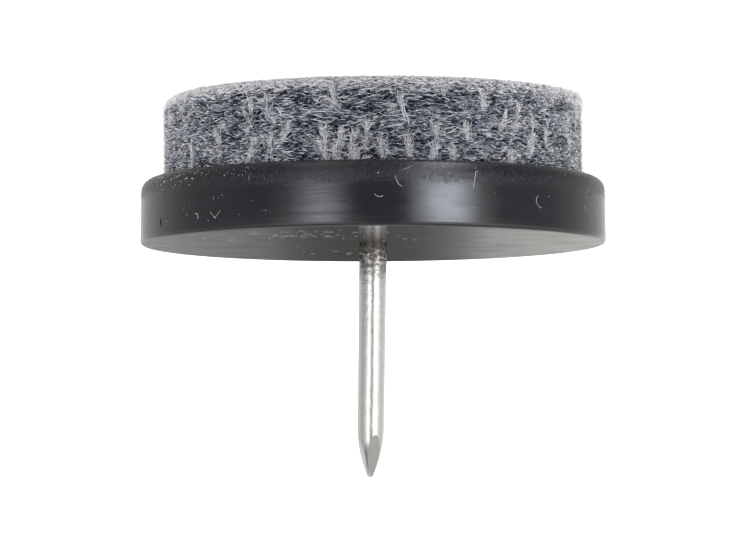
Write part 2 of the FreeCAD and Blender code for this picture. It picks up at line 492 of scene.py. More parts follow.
class GLIDE_OT_felt_core(bpy.types.Operator):
    """Dark, matted body of the felt, inside its web of fibres"""

    bl_idname = "glide.felt_core"
    bl_label = "Felt core"

    def execute(self, context):
        sizes = context.scene.glide_sizes
        radius = sizes.felt_radius - sizes.web_depth
        edge = sizes.sole_edge
        ring = 0.12 * MM
        profile = [(0.0, 0.05 * MM)]
        profile += run(profile[-1], (radius - edge, 0.05 * MM), 0.5 * MM)
        profile += arc((radius - edge, edge), edge - 0.05 * MM, -90, 0, 8)[1:]
        profile += run(profile[-1], (profile[-1][0], sizes.rim_height + RIM_TUCK), ring)
        profile += run(profile[-1], (profile[-1][0], sizes.felt_top), 0.5 * MM)
        profile += run(profile[-1], (0.0, sizes.felt_top), 2 * MM)
        piece = lathe("felt_core", profile, FELT_STEPS)

        # Uneven layers, pressed in here and there
        def layers(co):
            if co.z > sizes.rim_height or co.z < edge / 2:
                return Vector()
            lean = noise.fractal(Vector((co.x / 0.7, co.y / 0.7, co.z / 0.12)) / MM, 0.8, 2.0, 3)
            return outward(bearing_of(co)) * (lean * 0.07 * MM)

        move_corners(piece, layers)
        felt = FeltSurface(sizes)
        # Matting per corner, with the sole edge painted lighter as a stand-in for the light on it
        tones = [matting_and_sole_light(felt, bearing_of(v.co), felt.rim - v.co.z) for v in piece.data.vertices]
        piece.data.attributes.new("matting_and_sole_light", "FLOAT", "POINT").data.foreach_set("value", tones)
        smooth(piece)
        dress(piece, felt_core_material(context.scene.glide_colours), "felt_pad")
        return {"FINISHED"}


def crimped(rng, felt, bearing, down, heading, crimp, reach, steps, lift, tuck):
    """A crimped fibre from a bearing and run, its heading in radians from level, its ends tucked in."""
    stride = reach / steps
    turn = heading
    path = []
    for i in range(steps + 1):
        raised = lift - tuck * abs(2 * i / steps - 1) ** 3
        path.append(felt.point(bearing, down, raised))
        turn += rng.gauss(0, crimp) - 0.35 * (turn - heading)
        bearing += stride * math.cos(turn) / felt.radius
        down += stride * math.sin(turn)
    return path


def web_fibres(rng, felt, band, count, reach, lifts, slant, whiteness):
    """Crimped fibres over the side and sole edge, most where the felt's matting and the painted light of its
    sole edge make it as white as they are.
    """
    paths = []
    while len(paths) < count:
        bearing = rng.uniform(-math.pi, math.pi)
        down = rng.uniform(*band)
        if rng.random() > 0.5 + whiteness * matting_and_sole_light(felt, bearing, down):
            continue
        drift = noise.noise(Vector((math.sin(bearing) * 7, math.cos(bearing) * 7, down / (1.2 * MM))))
        heading = drift * slant + rng.gauss(0, slant)
        size = rng.uniform(*reach)
        bearing -= size / 2 / felt.radius
        lift = rng.uniform(*lifts)
        paths.append(crimped(rng, felt, bearing, down, heading, 0.25, size, 3, lift, 0.09 * MM))
    return paths


def sole_fibres(rng, felt, count):
    """Crimped fibres that lie every way on the sole."""
    paths = []
    for _ in range(count):
        place = outward(rng.uniform(0, math.tau)) * ((felt.radius - 1.3 * MM) * math.sqrt(rng.random()))
        turn, stride = rng.uniform(0, math.tau), rng.uniform(0.18, 0.4) * MM
        path = []
        for _ in range(4):
            path.append(Vector((place.x, place.y, rng.uniform(0.03, 0.05) * MM)))
            turn += rng.gauss(0, 0.4)
            place = place + Vector((math.cos(turn), math.sin(turn), 0)) * stride
        paths.append(path)
    return paths


def tuft(rng, felt, bearing, height, tall, wide, lean):
    """White fibres that a needle pulled along the felt's thickness: a loose upright cloud of them."""
    bow, phase = rng.uniform(0, 0.12) * MM, rng.uniform(0, math.tau)
    paths = []
    for _ in range(TUFT_FIBRES):
        size = rng.uniform(0.3, 0.75) * MM
        along = rng.uniform(-0.5, 0.5) * tall
        offset = rng.gauss(0, wide / 4.5) - lean * along + bow * math.sin(phase + 4 * along / tall)
        heading = math.pi / 2 + lean + rng.gauss(0, 0.22)
        lift = rng.uniform(-0.13, -0.01) * MM
        place = bearing + offset / felt.radius
        start = felt.rim - height + along - size / 2
        paths.append(crimped(rng, felt, place, start, heading, 0.35, size, 3, lift, 0.05 * MM))
    return paths


def strand(rng, felt, points):
    """A few white fibres that keep together along points of bearing in degrees and height in mm."""
    paths = []
    for _ in range(STRAND_FIBRES):
        path = []
        for degrees, height in points:
            bearing = math.radians(degrees) + rng.gauss(0, 0.02 * MM) / felt.radius
            down = felt.rim - height * MM + rng.gauss(0, 0.02 * MM)
            path.append(felt.point(bearing, down, rng.uniform(-0.03, 0.03) * MM))
        paths.append(path)
    return paths


def fuzz_hairs(rng, felt, count, band):
    """Short hairs that stand up out of the felt."""
    paths = []
    for _ in range(count):
        bearing, down = rng.uniform(-math.pi, math.pi), rng.uniform(*band)
        root = felt.point(bearing, down, -0.12 * MM)
        side, fall = rng.gauss(0, 0.08) * MM, rng.gauss(0, 0.05) * MM
        tip = felt.point(bearing + side / felt.radius, down + fall, rng.uniform(0.0, FUZZ_LENGTH))
        paths.append([root, tip])
    return paths


# Needle tufts that face the camera: bearing in degrees, height, tall, wide in mm, lean
FRONT_TUFTS = (
    (-63, 0.8, 1.2, 0.5, -0.1),
    (-58, 3.9, 1.9, 0.45, 0.1),
    (-46, 3.5, 1.5, 0.5, 0.2),
    (-35, 2.0, 2.0, 0.45, 0.0),
    (-34.5, 4.1, 1.1, 0.6, -0.3),
    (-28.5, 1.8, 1.6, 0.75, 0.2),
    (-28, 4.0, 1.7, 0.6, 0.0),
    (-24, 3.1, 0.9, 0.4, -0.4),
    (-13, 4.4, 1.0, 0.5, 0.0),
    (-13, 3.4, 1.0, 0.3, 0.2),
    (-10.5, 1.2, 1.1, 0.4, 0.0),
    (-9.5, 4.5, 1.2, 0.4, 0.2),
    (-8.5, 3.6, 1.0, 0.45, 0.0),
    (-5, 4.1, 1.6, 0.5, 0.0),
    (-4.5, 4.7, 0.7, 0.5, 0.0),
    (-1.5, 3.5, 1.7, 0.35, 0.1),
    (2.5, 4.3, 1.1, 0.4, -0.1),
    (7.5, 1.4, 1.0, 0.5, 0.0),
    (9.5, 4.0, 1.2, 0.4, 0.0),
    (17, 3.5, 1.9, 0.35, 0.1),
    (16, 4.5, 1.0, 0.45, -0.2),
    (22, 4.6, 1.0, 0.45, 0.1),
    (19.5, 0.5, 1.0, 0.6, 0.0),
    (26, 3.2, 0.9, 0.4, 0.1),
    (31, 1.3, 0.9, 0.4, 0.3),
    (37, 2.3, 1.0, 0.3, -0.5),
    (42, 2.2, 1.7, 0.35, -0.2),
    (48, 3.0, 2.1, 0.4, 0.0),
    (47.5, 3.8, 0.9, 0.5, 0.1),
    (54.5, 2.9, 1.3, 0.4, 0.0),
    (40, 4.6, 1.0, 0.6, 0.0),
    (68, 2.5, 2.4, 0.6, 0.1),
)
TUFT_FIBRES = 54
TUFT_THICKNESS = 0.028 * MM

# Needle tufts on the far side, and their lowest, highest and usual sizes in mm
BACK_TUFTS = 62
BACK_TALL = (0.7, 2.6, 1.5)
BACK_WIDE = (0.3, 1.2, 0.6)

# Single strands that face the camera: bearings in degrees and heights in mm
STRANDS = (
    ((-15.5, 2.6), (-14, 2.7), (-12.6, 2.8), (-12.1, 2.95), (-12.7, 3.1), (-14, 3.15)),
    ((7.7, 1.05), (8, 1.6), (8.5, 2.15), (9.4, 2.65), (9.6, 3.0)),
    ((7.3, 1.35), (7.6, 1.85), (8.2, 2.4), (8.8, 2.8)),
    ((-34.4, 1.1), (-36.4, 1.45), (-36.7, 1.95), (-35.7, 2.3)),
    ((-26.1, 1.85), (-25, 2.1), (-24.9, 2.3)),
)
STRAND_FIBRES = 4

# Layers of the web: fibres, their reach and their lift off the surface, slant in radians, whiteness
GREY_WEB = ((7600, mm(0.25, 0.75), mm(-0.23, -0.1), 0.09, 0.2),)
WHITE_WEB = ((7000, mm(0.25, 0.75), mm(-0.2, -0.07), 0.11, 0.55),)
NAVY_WEB = (
    (3400, mm(0.2, 0.6), mm(-0.17, -0.08), 0.08, -0.6),
    (2900, mm(0.2, 0.5), mm(-0.1, -0.05), 0.1, -0.2),
)
# The sole web covers the sole edge in pale fibres: partly its rubbed wear, partly painted light for the
# light that falls on that edge
SOLE_WEB = ((4000, mm(0.2, 0.6), mm(-0.1, -0.03), 0.3, 0.5),)

# Fibres that lie on the sole, and hairs that stand up
MAT_WHITE = 1750
MAT_GREY = 1300
MAT_THICKNESS = 0.05 * MM
SIDE_FUZZ = 17400
# The sole fuzz thickens pale hairs on the sole edge, partly as painted light for that edge
SOLE_FUZZ = 7000
FUZZ_THICKNESS = 0.026 * MM
FUZZ_LENGTH = 0.18 * MM


class GLIDE_OT_felt_fibres(bpy.types.Operator):
    """Web of white, grey and navy fibres round the felt, with needle tufts and fuzz"""

    bl_idname = "glide.felt_fibres"
    bl_label = "Felt fibres"

    def execute(self, context):
        sizes, colours = context.scene.glide_sizes, context.scene.glide_colours
        felt = FeltSurface(sizes)
        rng = random.Random(41)
        white = fibre_material("white fibre", colours.white_fibre, 0.3)
        grey = fibre_material("grey fibre", colours.grey_fibre, 0.6)
        navy = fibre_material("navy fibre", colours.navy_fibre, 0.4)
        # Pale fibres for the sole web, sole mat and fuzz, set light partly as painted light for the sole
        # edge
        pale = fibre_material("pale fibre", colours.pale_fibre, 0.12)
        web_band = (-0.1 * MM, felt.rim + 0.5 * MM)
        fuzz_band = (-0.05 * MM, felt.rim + 0.5 * MM)
        sole_band = (felt.rim - 0.9 * MM, felt.rim + 0.8 * MM)

        for name, layers, band, thickness, material in (
            ("felt_web_grey", GREY_WEB, web_band, 0.046 * MM, grey),
            ("felt_web_white", WHITE_WEB, web_band, 0.044 * MM, white),
            ("felt_web_navy", NAVY_WEB, web_band, 0.046 * MM, navy),
            ("sole_web", SOLE_WEB, sole_band, 0.042 * MM, pale),
        ):
            web = []
            for layer in layers:
                web += web_fibres(rng, felt, band, *layer)
            self.lay(name, web, thickness, material)

        paths = []
        for degrees, height, tall, wide, lean in FRONT_TUFTS:
            paths += tuft(rng, felt, math.radians(degrees), height * MM, tall * MM, wide * MM, lean)
        for _ in range(BACK_TUFTS):
            bearing = math.radians(rng.uniform(75, 285))
            height, tall = rng.uniform(0.5, 4.5) * MM, rng.triangular(*BACK_TALL) * MM
            wide, lean = rng.triangular(*BACK_WIDE) * MM, rng.gauss(0, 0.22)
            paths += tuft(rng, felt, bearing, height, tall, wide, lean)
        for points in STRANDS:
            paths += strand(rng, felt, points)
        self.lay("felt_tufts", paths, TUFT_THICKNESS, white)
        self.lay("sole_mat_white", sole_fibres(rng, felt, MAT_WHITE), MAT_THICKNESS, pale)
        self.lay("sole_mat_grey", sole_fibres(rng, felt, MAT_GREY), MAT_THICKNESS, grey)
        self.lay("felt_fuzz", fuzz_hairs(rng, felt, SIDE_FUZZ, fuzz_band), FUZZ_THICKNESS, pale)
        self.lay("sole_fuzz", fuzz_hairs(rng, felt, SOLE_FUZZ, sole_band), FUZZ_THICKNESS, pale)
        return {"FINISHED"}

    def lay(self, name, paths, thickness, material):
        """Makes one group of fibres and ties it to the frame."""
        piece = thread_mesh(name, paths, thickness)
        wrap_map(piece, FELT_HIGH.z)
        dress(piece, material)


# Cup


def plastic_material(sizes, colours):
    """Black moulded plastic: glossy wall and leg face, rubbed matt round the shoulder."""
    material, tree, shader = new_material("black plastic")
    place = object_place(tree)
    height = node(tree, "ShaderNodeSeparateXYZ", {0: place}).outputs["Z"]
    ragged = patches(tree, place, (1.2 * MM, 0.5 * MM), 5.0, 0.65)
    level = plus(tree, height, times(tree, ragged, 0.9 * MM))
    rim = sizes.rim_height
    rubbed = between(tree, level, rim + 1.45 * MM, rim + 2.05 * MM, 1.0, 0.0)
    grain = patches(tree, place, (0.13 * MM, 0.2 * MM), 4.0, 0.7)
    speckle = between(tree, grain, 0.42, 0.60)
    streaks = patches(tree, place, (2.2 * MM, 0.09 * MM), 4.0, 0.6)
    smears = patches(tree, place, (3.0 * MM, 1.0 * MM), 4.0, 0.6)
    shade = mix_colour(
        tree, times(tree, rubbed, speckle), rgba(colours.plastic), rgba(colours.scuffed)
    )
    film = between(tree, patches(tree, place, (2.4 * MM, 2.4 * MM), 4.0, 0.6), 0.48, 0.78, 0.0, 0.035)
    level_face = between(tree, height, sizes.leg_height - 0.1 * MM, sizes.leg_height - 0.05 * MM)
    shade = mix_colour(tree, times(tree, film, level_face), shade, rgba(colours.lint))
    gloss = between(tree, smears, 0.3, 0.75, 0.09, 0.2)
    matt = mix_value(tree, speckle, 0.22, 0.42)
    plug(tree, shader, Base_Color=shade, Roughness=mix_value(tree, rubbed, gloss, matt))
    plug(tree, shader, Specular_IOR_Level=mix_value(tree, rubbed, 0.5, 0.4))
    relief = mix_value(tree, rubbed, times(tree, streaks, 0.1), grain)
    plug(tree, shader, Normal=bump(tree, relief, 0.02 * MM, 0.6))
    return material


class CupSurface:
    """The cup's outside: its wall with the round shoulder, and its leg face."""

    def __init__(self, sizes):
        self.radius = sizes.cup_radius
        self.leg = sizes.leg_height
        self.rim = sizes.rim_height
        self.slope = math.tan(sizes.draft)
        self.shoulder = sizes.shoulder

    def wall(self, bearing, height, lift):
        """The place on the wall at a bearing and height, lifted off it."""
        radius = self.radius - (self.leg - height) * self.slope
        short = max(0.0, self.rim + self.shoulder - height)
        radius -= self.shoulder - math.sqrt(max(0.0, self.shoulder**2 - short**2))
        tilt = math.asin(min(1.0, short / self.shoulder))
        place = outward(bearing) * (radius + lift * math.cos(tilt))
        return place + Vector((0, 0, height - lift * math.sin(tilt)))

    def leg_face(self, x, y, lift):
        return Vector((x, y, self.leg + lift))


def cup_profile(sizes):
    """Closed half-section of the cup: leg face, wall, rim, recess and the socket of the nail's head."""
    outer, leg, rim = sizes.cup_radius, sizes.leg_height, sizes.rim_height
    draft, shoulder, lip, edge = sizes.draft, sizes.shoulder, sizes.lip, sizes.leg_edge
    recess = sizes.recess_radius
    foot = outer - (leg - rim) * math.tan(draft)
    degrees = math.degrees(draft)
    profile = [(sizes.nail_radius, leg)]
    profile += run(profile[-1], (outer - edge, leg), 0.7 * MM)
    profile += arc((outer - edge, leg - edge), edge, 90, -degrees, 6)[1:]
    fall = arc((foot - shoulder, rim + shoulder), shoulder, -degrees, -90, 12)
    profile += run(profile[-1], fall[0], 0.08 * MM)
    profile += fall[1:]
    profile += run(profile[-1], (recess + lip, rim), 0.2 * MM)
    profile += [(recess + lip * 0.3, rim + lip * 0.3), (recess, rim + lip)]
    profile += [(recess, sizes.felt_top)]
    profile += run(profile[-1], (sizes.head_radius, sizes.felt_top), 2 * MM)
    profile += [(sizes.head_radius, sizes.felt_top + sizes.head_rim), profile[0]]
    return profile


# Flow line that runs round the wall just short of the leg face
FLOW_LINE_DROP = 0.76 * MM
FLOW_LINE_WIDTH = 0.75 * MM
FLOW_LINE_DEPTH = 0.0018 * MM


class GLIDE_OT_cup(bpy.types.Operator):
    """Moulded cup with a slightly uneven glossy wall"""

    bl_idname = "glide.cup"
    bl_label = "Cup"

    def execute(self, context):
        sizes = context.scene.glide_sizes
        piece = lathe("cup", cup_profile(sizes), CUP_STEPS)

        # Sink and flow of the moulding, which bend what the wall and the leg face mirror
        def sink(co):
            flow = noise.noise(Vector((co.x / 4.2, co.y / 4.2, co.z / 1.3)) / MM)
            if co.z > sizes.leg_height - 0.001 * MM:
                return Vector((0, 0, min(flow, 0) * 0.006 * MM))
            if math.hypot(co.x, co.y) < sizes.recess_radius + sizes.lip:
                return Vector()
            away = (co.z - sizes.leg_height + FLOW_LINE_DROP) / FLOW_LINE_WIDTH
            ripple = math.sin(math.tau * away) * math.exp(-4 * away * away) * FLOW_LINE_DEPTH
            share = 1 + 0.8 * noise.noise(Vector((co.x, co.y, 0)) / (3 * MM))
            return outward(bearing_of(co)) * (flow * 0.006 * MM + ripple * share)

        move_corners(piece, sink)
        smooth(piece)
        dress(piece, plastic_material(sizes, context.scene.glide_colours), "base_cup")
        return {"FINISHED"}


# Lint, dust and marks

# Threads on the wall that face the camera: each a list of bearings in degrees and heights in mm
WALL_THREADS = (
    ((25.3, 5.42), (25.0, 5.85), (24.6, 6.35), (24.3, 6.78)),
    ((43.4, 6.86), (42.7, 7.05), (42.7, 7.30), (43.6, 7.52), (44.4, 7.58)),
    ((-47.9, 7.75), (-46.9, 7.82), (-46.6, 8.0), (-46.9, 8.12)),
    ((-42.2, 7.82), (-40.9, 8.14), (-39.2, 7.72)),
    ((0.3, 7.05), (0.8, 7.18), (1.6, 7.24), (2.4, 7.2)),
    ((5.2, 6.0), (5.5, 6.25), (6.0, 6.5), (6.9, 6.66)),
    ((9.6, 5.42), (8.4, 5.55), (7.0, 5.68)),
    ((62.6, 7.2), (63.2, 7.42)),
    ((-30.9, 5.78), (-30.7, 6.08)),
    ((-41.6, 6.9), (-41.3, 7.05)),
)
DARK_MARKS = (
    ((-63.2, 7.80), (-63.4, 8.05), (-63.0, 8.28)),
    ((66.3, 6.35), (66.9, 6.45)),
)
THREAD_WIDTH = 0.04 * MM
FLECK_WIDTH = 0.6 * THREAD_WIDTH
MARK_WIDTH = 2 * THREAD_WIDTH
FLECK_TONE = 0.8
WALL_GRAINS = mm(0.022, 0.066)
FACE_GRAINS = mm(0.02, 0.055)

# Where dust gathers: bearings in degrees and heights in mm on the wall, and how many specks
WALL_DUST = (
    ((-68, -28), (5.28, 5.75), 90),
    ((-66, -50), (5.75, 6.3), 26),
    ((-60, -22), (6.0, 8.4), 22),
    ((-8, 20), (5.3, 7.6), 16),
    ((20, 75), (5.4, 8.4), 20),
    ((75, 285), (5.3, 8.4), 50),
)
# Middle and spread of the dust on the leg face in mm, and how many flecks
FACE_DUST = (
    ((4.2, -8.0), (1.9, 2.0), 34),
    ((8.8, -5.5), (1.8, 2.4), 10),
    ((-4.5, -7.0), (2.6, 3.5), 4),
    ((0.0, 6.0), (5.0, 3.0), 14),
)


def specks_mesh(name, rng, places):
    """Small uneven grains at the places, each a (middle, size) pair, as one mesh."""
    deselect()
    bpy.ops.mesh.primitive_ico_sphere_add(subdivisions=1, radius=0.5)
    grain = bpy.context.object
    shape = [vertex.co.copy() for vertex in grain.data.vertices]
    faces = [tuple(face.vertices) for face in grain.data.polygons]
    bpy.data.objects.remove(grain)
    corners, sides = [], []
    for middle, size in places:
        first = len(corners)
        stretch = [size * rng.uniform(0.6, 1.4) for _ in range(3)]
        corners += [middle + Vector(a * b for a, b in zip(corner, stretch)) for corner in shape]
        sides += [tuple(first + index for index in face) for face in faces]
    mesh = bpy.data.meshes.new(name)
    mesh.from_pydata(corners, [], sides)
    piece = bpy.data.objects.new(name, mesh)
    bpy.context.collection.objects.link(piece)
    return piece


def lint_material(name, rgb):
    """Dusty thread, uneven in tone."""
    material, tree, shader = new_material(name)
    drift = patches(tree, object_place(tree), (0.3 * MM, 0.3 * MM), 3.0)
    tone = mix_colour(tree, between(tree, drift, 0.35, 0.65), rgba(rgb, 0.7), rgba(rgb, 1.1))
    plug(tree, shader, Base_Color=tone, Roughness=0.8, Specular_IOR_Level=0.2)
    return material


class GLIDE_OT_lint(bpy.types.Operator):
    """Stray fibres, dust and marks on the cup"""

    bl_idname = "glide.lint"
    bl_label = "Lint"

    def execute(self, context):
        cup = CupSurface(context.scene.glide_sizes)
        rng = random.Random(7)
        pale = lint_material("pale lint", context.scene.glide_colours.lint)
        dusty = lint_material("dusty lint", [FLECK_TONE * c for c in context.scene.glide_colours.lint])
        dark = lint_material("dark lint", context.scene.glide_colours.core)

        def on_wall(points):
            return [cup.wall(math.radians(degrees), height * MM, 0.005 * MM) for degrees, height in points]

        threads = [on_wall(points) for points in WALL_THREADS]
        flecks = []
        for (x, y), (wide, deep), count in FACE_DUST:
            for _ in range(count):
                middle = Vector((rng.gauss(x, wide), rng.gauss(y, deep))) * MM
                turn, size = rng.uniform(0, math.tau), rng.uniform(0.2, 0.7) * MM
                path = []
                for share in (-0.5, -0.1, 0.3, 0.5):
                    bend = turn + rng.uniform(-0.5, 0.5)
                    spot = middle + Vector((math.cos(bend), math.sin(bend))) * size * share
                    path.append(cup.leg_face(spot.x, spot.y, rng.uniform(0, 0.02) * MM))
                flecks.append(path)
        dress(thread_mesh("lint_threads", threads, THREAD_WIDTH), pale)
        dress(thread_mesh("face_flecks", self.on_cup(flecks, cup), FLECK_WIDTH), dusty)
        dress(thread_mesh("dark_marks", [on_wall(points) for points in DARK_MARKS], MARK_WIDTH), dark)

        grains = []
        for bearings, heights, count in WALL_DUST:
            for _ in range(count):
                place = cup.wall(math.radians(rng.uniform(*bearings)), rng.uniform(*heights) * MM, 0.0)
                grains.append((place, rng.uniform(*WALL_GRAINS)))
        for (x, y), (wide, deep), count in FACE_DUST:
            for _ in range(count // 2):
                place = cup.leg_face(rng.gauss(x, wide) * MM, rng.gauss(y, deep) * MM, 0.0)
                if math.hypot(place.x, place.y) < cup.radius - 0.3 * MM:
                    grains.append((place, rng.uniform(*FACE_GRAINS)))
        dress(specks_mesh("dust", rng, grains), pale)
        return {"FINISHED"}

    def on_cup(self, threads, cup):
        """Leaves out threads that would hang over the leg face's edge."""
        return [t for t in threads if max(math.hypot(p.x, p.y) for p in t) < cup.radius + 0.1 * MM]


# Nail


def steel_material(sizes, colours):
    """Bright wire with the lines that drawing it left along its length, dirty at its root."""
    material, tree, shader = new_material("drawn wire")
    place = object_place(tree)
    height = node(tree, "ShaderNodeSeparateXYZ", {0: place}).outputs["Z"]
    lines = patches(tree, place, (0.05 * MM, 2.5 * MM), 4.0, 0.6)
    stains = patches(tree, place, (0.28 * MM, 0.22 * MM), 5.0, 0.65)
    leg = sizes.leg_height
    level = plus(tree, height, times(tree, stains, 1.3 * MM))
    sooty = between(tree, level, leg + 1.2 * MM, leg + 3.4 * MM, 0.95, 0.0)
    blotched = times(tree, sooty, between(tree, stains, 0.42, 0.58, 1.0, 0.45))
    dirty = maths(tree, "MAXIMUM", blotched, between(tree, level, leg + 0.6 * MM, leg + 2.1 * MM, 0.95, 0.0))
    tip = sizes.tip_height
    drawn = between(tree, height, tip - sizes.point_length, tip - 2.2 * MM, 1.0, 0.0)
    clean = mix_colour(
        tree, between(tree, stains, 0.35, 0.7), rgba(colours.steel, 1.03), rgba(colours.steel, 0.96)
    )
    plug(tree, shader, Base_Color=mix_colour(tree, dirty, clean, rgba(colours.grime)), Metallic=1.0)
    plug(tree, shader, Specular_Tint=mix_colour(tree, dirty, rgba((1, 1, 1)), rgba((0.25, 0.23, 0.2))))
    bright = between(tree, lines, 0.3, 0.7, 0.12, 0.22)
    plug(tree, shader, Roughness=mix_value(tree, dirty, bright, 0.28))
    dents = times(tree, patches(tree, place, (0.12 * MM, 0.10 * MM), 3.0), 8.0)
    pitted = times(tree, times(tree, dirty, stains), 6.0)
    worn = times(tree, plus(tree, lines, dents), drawn)
    relief = plus(tree, worn, pitted)
    plug(tree, shader, Normal=bump(tree, relief, 0.004 * MM, 0.5))
    return material


# Share of the nail's thickness added at its root and lost again along the shank
NAIL_SWELL = 0.03
NAIL_THINNING = 0.04

# Marks of the grip that held the wire: height above the leg face in mm, how proud in mm, bearing in degrees
GRIP_MARKS = (
    (0.35, 0.012, 70),
    (0.75, 0.015, 70),
    (1.05, 0.022, 75),
    (1.40, 0.005, -35),
    (1.85, 0.004, -45),
    (2.40, 0.004, -40),
)


# Length of each flat as a share of the flat length: the last, towards the camera, is pinched deeper
FLAT_SHARES = (1.0, 1.0, 1.0, 1.09)


class GLIDE_OT_nail(bpy.types.Operator):
    """Wire nail with grip marks at its root and a diamond point"""

    bl_idname = "glide.nail"
    bl_label = "Nail"

    def execute(self, context):
        sizes = context.scene.glide_sizes
        radius, tip = sizes.nail_radius, sizes.tip_height
        leg = sizes.leg_height
        point = tip - sizes.point_length
        tip_r = sizes.tip_radius
        rise = sizes.point_length - tip_r
        taper = (rise**2 + radius**2 - tip_r**2) / (2 * (radius - tip_r))
        turn = math.degrees(math.atan2(rise, taper - radius))
        profile = [(0.0, sizes.felt_top), (sizes.head_radius, sizes.felt_top)]
        profile += [(sizes.head_radius, sizes.felt_top + sizes.head_rim), (radius, leg)]
        profile += run(profile[-1], (radius, leg + 3 * MM), 0.05 * MM)
        profile += run(profile[-1], (radius, point), 0.1 * MM)
        profile += arc((radius - taper, point), taper, 0, turn, 16)[1:]
        profile += arc((0.0, tip - tip_r), tip_r, turn, 90, 6)[1:]
        piece = lathe("wire_nail", profile, NAIL_STEPS)

        # Thinner towards the point, rippled by drawing and marked by the grip
        def drawn(co):
            if co.z < leg - 0.01 * MM:
                return Vector()
            bearing = bearing_of(co)
            above = co.z - leg
            along = min(above / (point - leg), 1)
            shape = math.hypot(co.x, co.y) * (NAIL_SWELL - NAIL_THINNING * along)
            if along == 1:
                return outward(bearing) * shape
            shape += noise.noise(Vector((co.x / 0.35, co.y / 0.35, co.z / 0.3)) / MM) * 0.005 * MM
            for height, proud, degrees in GRIP_MARKS:
                away = (above - height * MM) / (0.12 * MM)
                facing = math.cos(bearing - math.radians(degrees))
                shape += proud * MM * math.exp(-away * away) * max(facing, 0) ** 2
            return outward(bearing) * shape

        move_corners(piece, drawn)
        self.cut_flats(piece, sizes)
        lean = math.tan(sizes.nail_lean)
        move_corners(piece, lambda co: Vector((max(co.z - leg, 0) * lean, 0, 0)))
        smooth(piece, 30)
        dress(piece, steel_material(sizes, context.scene.glide_colours), "nail")
        return {"FINISHED"}

    def cut_flats(self, piece, sizes):
        """Slices the four flats off the point."""
        for quarter, share in enumerate(FLAT_SHARES):
            slope = math.atan2(sizes.nail_radius - sizes.tip_width / 2, sizes.flat_length * share)
            turn = sizes.flats_turn + quarter * math.tau / 4
            away = Vector((math.cos(turn), math.sin(turn), 0))
            edit_all()
            bpy.ops.mesh.bisect(
                plane_co=away * sizes.tip_width / 2 + Vector((0, 0, sizes.tip_height)),
                plane_no=away * math.cos(slope) + Vector((0, 0, math.sin(slope))),
                clear_outer=True,
                threshold=MERGE_DISTANCE,
            )
            bpy.ops.mesh.edge_face_add()
            bpy.ops.mesh.mark_sharp()
        close_up()


# Stage

# Place that the camera looks from and at, and its roll, in mm and degrees
CAMERA_EYE = (0.0, -281.95, 30.84)
CAMERA_AIM = (0.437, 0.0, 10.70)
CAMERA_ROLL = -0.22
CAMERA_LENS = 231.2

# Light tent seen only in gloss: zones that start over a stretch of heights in mm, each with its light
# as bearings in degrees and brightness
TENT_RADIUS = 50 * MM
TENT_HEIGHT = 60 * MM
TENT_LEFT = ((-180, 0.8), (-120, 0.8), (-85, 0.45), (-50, 0.33))
TENT_RIGHT = ((85, 0.45), (120, 0.85), (180, 1))
TENT_ZONES = (
    (
        (0, 0),
        TENT_LEFT
        + ((-30, 0.4), (-22, 1.2), (-14, 1.2), (-6, 0.5), (9, 0.40), (13, 1.2), (18, 3.8), (22, 5.0))
        + ((27, 4.6), (32, 1.8), (37, 0.5), (44, 0.3), (70, 0.3))
        + TENT_RIGHT,
    ),
    (
        (0.2, 0.3),
        TENT_LEFT
        + ((-10, 0.30), (9, 0.30), (14, 0.5), (20, 3.0), (26, 6.8), (34, 8.2), (39, 5.8), (43, 3.4))
        + ((48, 1.3), (58, 0.35))
        + TENT_RIGHT,
    ),
    (
        (2.1, 2.5),
        TENT_LEFT
        + ((-43, 0.5), (-36, 1.1), (-30, 3.0), (-24, 5.2), (-20, 5.4), (-16, 3.9), (-12, 1.8), (-8, 0.6))
        + ((-4, 0.3), (9, 0.30), (14, 0.5), (20, 4.4), (26, 10.0), (33, 11.2), (38, 8.2), (42, 4.9))
        + ((47, 1.7), (56, 0.4))
        + TENT_RIGHT,
    ),
    (
        (4.9, 6.4),
        ((-180, 0.09), (-176.8, 0.10), (-173.6, 0.13), (-171, 0.25), (-165, 0.34), (-146, 1.0))
        + ((-108, 0.8), (-83, 0.6), (-62, 0.8), (-45, 1.1), (-30, 2.1), (-18, 2.2), (-8, 1.2))
        + ((0, 0.5), (9, 0.5), (18, 1.6), (32, 2.4), (46, 2.2), (60, 1.4), (83, 0.95), (108, 0.9))
        + ((146, 1.2), (166, 0.6), (170, 0.52), (173, 0.25), (175, 0.155), (176.6, 0.12), (180, 0.09)),
    ),
    (
        (29, 36),
        ((-180, 0.9), (-137, 0.68), (-100, 0.65), (-58, 0.5), (-50, 0.2), (-43, 0.2), (-36, 0.6))
        + ((45, 0.65), (100, 0.65), (180, 0.9)),
    ),
)
TENT_BRIGHTEST = 12.0
SOFTBOX_TINT = (0.94, 0.98, 1.07)
FAR_TINT = (1.03, 1.0, 0.965)


def tent_tint(degrees, light):
    """Cool bright softboxes, a warm far side, and a plain rest."""
    if light > 2.4:
        return SOFTBOX_TINT
    return FAR_TINT if abs(degrees) > 140 else (1.0, 1.0, 1.0)


# Lamps, all at one distance: bearing and elevation in degrees, size in metres, power in watts
LAMP_DISTANCE = 0.30
LAMPS = (
    ("key", 40, 7, 0.07, 0.19),
    ("fill", -38, 7, 0.07, 0.12),
    ("left bank", -88, 9, 0.20, 0.55),
    ("right bank", 100, 9, 0.20, 0.55),
)

# Soft light of the room from the camera's side, and from the sides and behind
ROOM_FRONT = 0.42
ROOM_BACK = 0.95

# How much whiter than its own light the floor is to the camera, and in gloss
FLOOR_GLOW = 0.78
FLOOR_GLOSS = 0.2

# Share of the floor's light that comes up through it, as through an opal table
FLOOR_OPAL = 0.6


def mirrored(tree, path):
    """1 for what is seen in gloss or through glass, else 0."""
    return maths(tree, "MAXIMUM", path.outputs["Is Glossy Ray"], path.outputs["Is Transmission Ray"])


